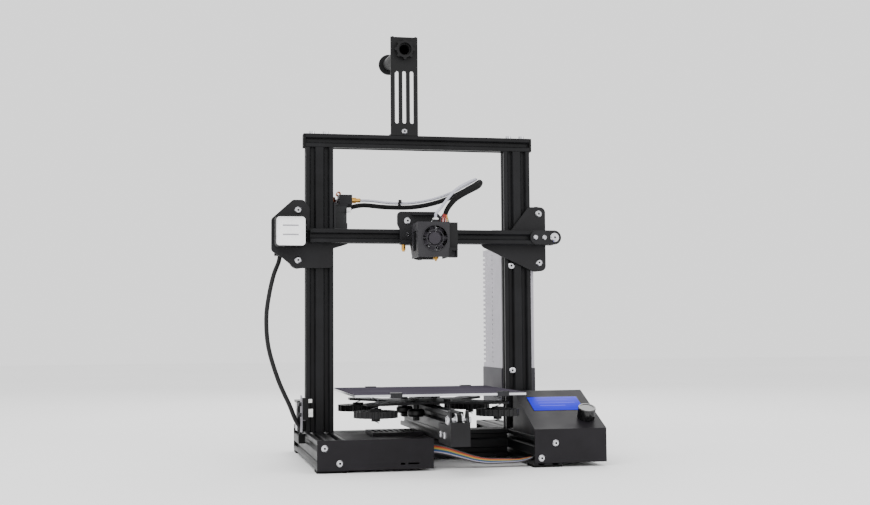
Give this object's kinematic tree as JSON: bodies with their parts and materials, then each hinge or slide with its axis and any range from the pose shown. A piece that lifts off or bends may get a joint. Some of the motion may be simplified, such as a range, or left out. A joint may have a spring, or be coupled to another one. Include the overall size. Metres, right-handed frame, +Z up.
{
  "type": "fdm printer",
  "caption": "Open-frame desktop printer of black slotted extrusions with a moving bed, belt-driven print head on a screw-lifted gantry, tilted control panel and spool arm.",
  "frame": {"origin": "centre of the bounding box footprint, on the surface the feet stand on", "axes": "+Z up, -Y toward the front of the machine, +X toward the control panel"},
  "size_m": [0.4573, 0.4536, 0.6264],
  "materials": {
    "black_anodised": "satin",
    "black_sheet": "satin powder coat",
    "black_plastic": "matte",
    "black_rubber": "matte",
    "gloss_black": "gloss",
    "zinc_steel": "bright zinc",
    "bed_aluminium": "bright",
    "print_surface": "textured",
    "silver_case": "satin",
    "grey_plastic": "matte",
    "brass": "machined",
    "lcd_blue": "lit display",
    "white_tube": "smooth",
    "braid_black": "braided sleeve",
    "rainbow_cable": "flat insulated wires",
    "switch_red": "gloss",
    "bracket_grey": "satin"
  },
  "bodies": {
    "frame": {"base_rail_left": "black_anodised", "base_rail_right": "black_anodised", "cross_beam": "black_anodised", "upright_left": "black_anodised", "upright_right": "black_anodised", "top_bar": "black_anodised", "y_beam": "black_anodised", "y_idler_bracket": "black_sheet", "frame_motors": "black_sheet", "electronics_box": "black_sheet", "display_box": "black_sheet", "lcd_screen": "lcd_blue", "power_supply": "silver_case", "psu_end_cover": "grey_plastic", "spool_holder": "black_plastic", "z_limit_switch": "bracket_grey", "feet_and_caps": "black_plastic", "frame_bolts": "zinc_steel", "y_belt": "black_rubber", "ribbon_cable": "rainbow_cable", "base_harness": "braid_black"},
    "gantry": {"x_beam": "black_anodised", "gantry_plate_left": "black_sheet", "gantry_plate_right": "black_sheet", "gantry_motors": "black_sheet", "x_motor_cover": "black_plastic", "belt_tensioner": "black_sheet", "x_belt": "black_rubber", "extruder_body": "black_sheet", "gantry_wheels": "black_plastic", "gantry_bolts": "zinc_steel", "bowden_tube": "white_tube", "sleeved_loom": "braid_black"},
    "head": {"carriage_plate": "black_sheet", "fan_shroud": "black_sheet", "hot_end": "brass", "carriage_bolts": "zinc_steel"},
    "bed": {"bed_carriage": "black_sheet", "bed_plate": "bed_aluminium", "bed_surface": "print_surface", "bed_clips": "black_sheet", "bed_springs": "zinc_steel", "bed_wheels": "black_plastic"},
    "lead_screw": {"lead_screw": "zinc_steel"},
    "y_drive_pulley": {"y_drive_pulley": "bed_aluminium"},
    "y_idler_pulley": {"y_idler_pulley": "bed_aluminium"},
    "x_drive_pulley": {"x_drive_pulley": "bed_aluminium"},
    "x_idler_pulley": {"x_idler_pulley": "bed_aluminium"},
    "encoder_knob": {"encoder_knob": "gloss_black"},
    "power_switch": {"power_switch": "switch_red"},
    "extruder_lever": {"extruder_lever": "zinc_steel"},
    "extruder_gear": {"extruder_gear": "brass"},
    "fan_rotor": {"fan_rotor": "grey_plastic"},
    "knob_front_left": {"knob_front_left": "black_plastic"},
    "knob_front_right": {"knob_front_right": "black_plastic"},
    "knob_rear_left": {"knob_rear_left": "black_plastic"},
    "knob_rear_right": {"knob_rear_right": "black_plastic"},
    "carriage_wheel_left": {"carriage_wheel_left": "black_plastic"},
    "carriage_wheel_right": {"carriage_wheel_right": "black_plastic"},
    "carriage_wheel_lower": {"carriage_wheel_lower": "black_plastic"}
  },
  "joints": [
    {"name": "gantry_z", "type": "slide", "parent": "frame", "child": "gantry", "axis": [0, 0, 1], "range_m": [-0.18, 0.07], "deforming": ["base_harness"]},
    {"name": "head_x", "type": "slide", "parent": "gantry", "child": "head", "axis": [1, 0, 0], "range_m": [-0.125, 0.125], "deforming": ["bowden_tube", "sleeved_loom"]},
    {"name": "bed_y", "type": "slide", "parent": "frame", "child": "bed", "axis": [0, 1, 0], "range_m": [-0.148, 0.07]},
    {"name": "screw_turn", "type": "hinge", "parent": "frame", "child": "lead_screw", "pos_m": [-0.1625, 0.08025, 0.1], "axis": [0, 0, 1], "range_deg": [-8106, 3156]},
    {"name": "y_drive_turn", "type": "hinge", "parent": "frame", "child": "y_drive_pulley", "pos_m": [-0.0065, 0.16825, 0.0735], "axis": [1, 0, 0], "range_deg": [-635, 1337]},
    {"name": "y_idler_turn", "type": "hinge", "parent": "frame", "child": "y_idler_pulley", "pos_m": [-0.0065, -0.21375, 0.0735], "axis": [1, 0, 0], "range_deg": [-635, 1337]},
    {"name": "x_drive_turn", "type": "hinge", "parent": "gantry", "child": "x_drive_pulley", "pos_m": [-0.1975, 0.01965, 0.324], "axis": [0, 1, 0], "range_deg": [-1130, 1130]},
    {"name": "x_idler_turn", "type": "hinge", "parent": "gantry", "child": "x_idler_pulley", "pos_m": [0.1905, 0.01965, 0.324], "axis": [0, 1, 0], "range_deg": [-1130, 1130]},
    {"name": "display_knob_turn", "type": "hinge", "parent": "frame", "child": "encoder_knob", "pos_m": [0.204, -0.08614, 0.06372], "axis": [0, -0.3907, 0.9205], "continuous": true},
    {"name": "power_rocker", "type": "hinge", "parent": "frame", "child": "power_switch", "pos_m": [0.1465, 0.17025, 0.092], "axis": [1, 0, 0], "range_deg": [-16, 0]},
    {"name": "lever_press", "type": "hinge", "parent": "gantry", "child": "extruder_lever", "pos_m": [-0.1435, 0.09525, 0.381], "axis": [0, 0, 1], "range_deg": [-1, 7], "stiffness_Nm_per_rad": 0.8},
    {"name": "feed_gear_turn", "type": "hinge", "parent": "gantry", "child": "extruder_gear", "pos_m": [-0.1315, 0.07925, 0.381], "axis": [0, 0, 1], "continuous": true},
    {"name": "fan_spin", "type": "hinge", "parent": "head", "child": "fan_rotor", "pos_m": [-0.0032, -0.05375, 0.3165], "axis": [0, 1, 0], "continuous": true},
    {"name": "knob_front_left_turn", "type": "hinge", "parent": "bed", "child": "knob_front_left", "pos_m": [-0.0915, -0.08125, 0.075], "axis": [0, 0, 1], "continuous": true},
    {"name": "knob_front_right_turn", "type": "hinge", "parent": "bed", "child": "knob_front_right", "pos_m": [0.0785, -0.08125, 0.075], "axis": [0, 0, 1], "continuous": true},
    {"name": "knob_rear_left_turn", "type": "hinge", "parent": "bed", "child": "knob_rear_left", "pos_m": [-0.0915, 0.08875, 0.075], "axis": [0, 0, 1], "continuous": true},
    {"name": "knob_rear_right_turn", "type": "hinge", "parent": "bed", "child": "knob_rear_right", "pos_m": [0.0785, 0.08875, 0.075], "axis": [0, 0, 1], "continuous": true},
    {"name": "wheel_left_roll", "type": "hinge", "parent": "head", "child": "carriage_wheel_left", "pos_m": [-0.0305, 0.01965, 0.3461], "axis": [0, 1, 0], "range_deg": [-602, 602]},
    {"name": "wheel_right_roll", "type": "hinge", "parent": "head", "child": "carriage_wheel_right", "pos_m": [0.0095, 0.01965, 0.3461], "axis": [0, 1, 0], "range_deg": [-602, 602]},
    {"name": "wheel_lower_roll", "type": "hinge", "parent": "head", "child": "carriage_wheel_lower", "pos_m": [-0.0105, 0.01965, 0.3019], "axis": [0, 1, 0], "range_deg": [-602, 602]}
  ],
  "couplings": [
    {"joint": "screw_turn", "follows": "gantry_z", "rad_per_m": 785.4},
    {"joint": "y_drive_turn", "follows": "bed_y", "rad_per_m": -156.99},
    {"joint": "y_idler_turn", "follows": "bed_y", "rad_per_m": -156.99},
    {"joint": "x_drive_turn", "follows": "head_x", "rad_per_m": 156.99},
    {"joint": "x_idler_turn", "follows": "head_x", "rad_per_m": 156.99},
    {"joint": "wheel_left_roll", "follows": "head_x", "rad_per_m": 83.333},
    {"joint": "wheel_right_roll", "follows": "head_x", "rad_per_m": 83.333},
    {"joint": "wheel_lower_roll", "follows": "head_x", "rad_per_m": -83.333}
  ]
}
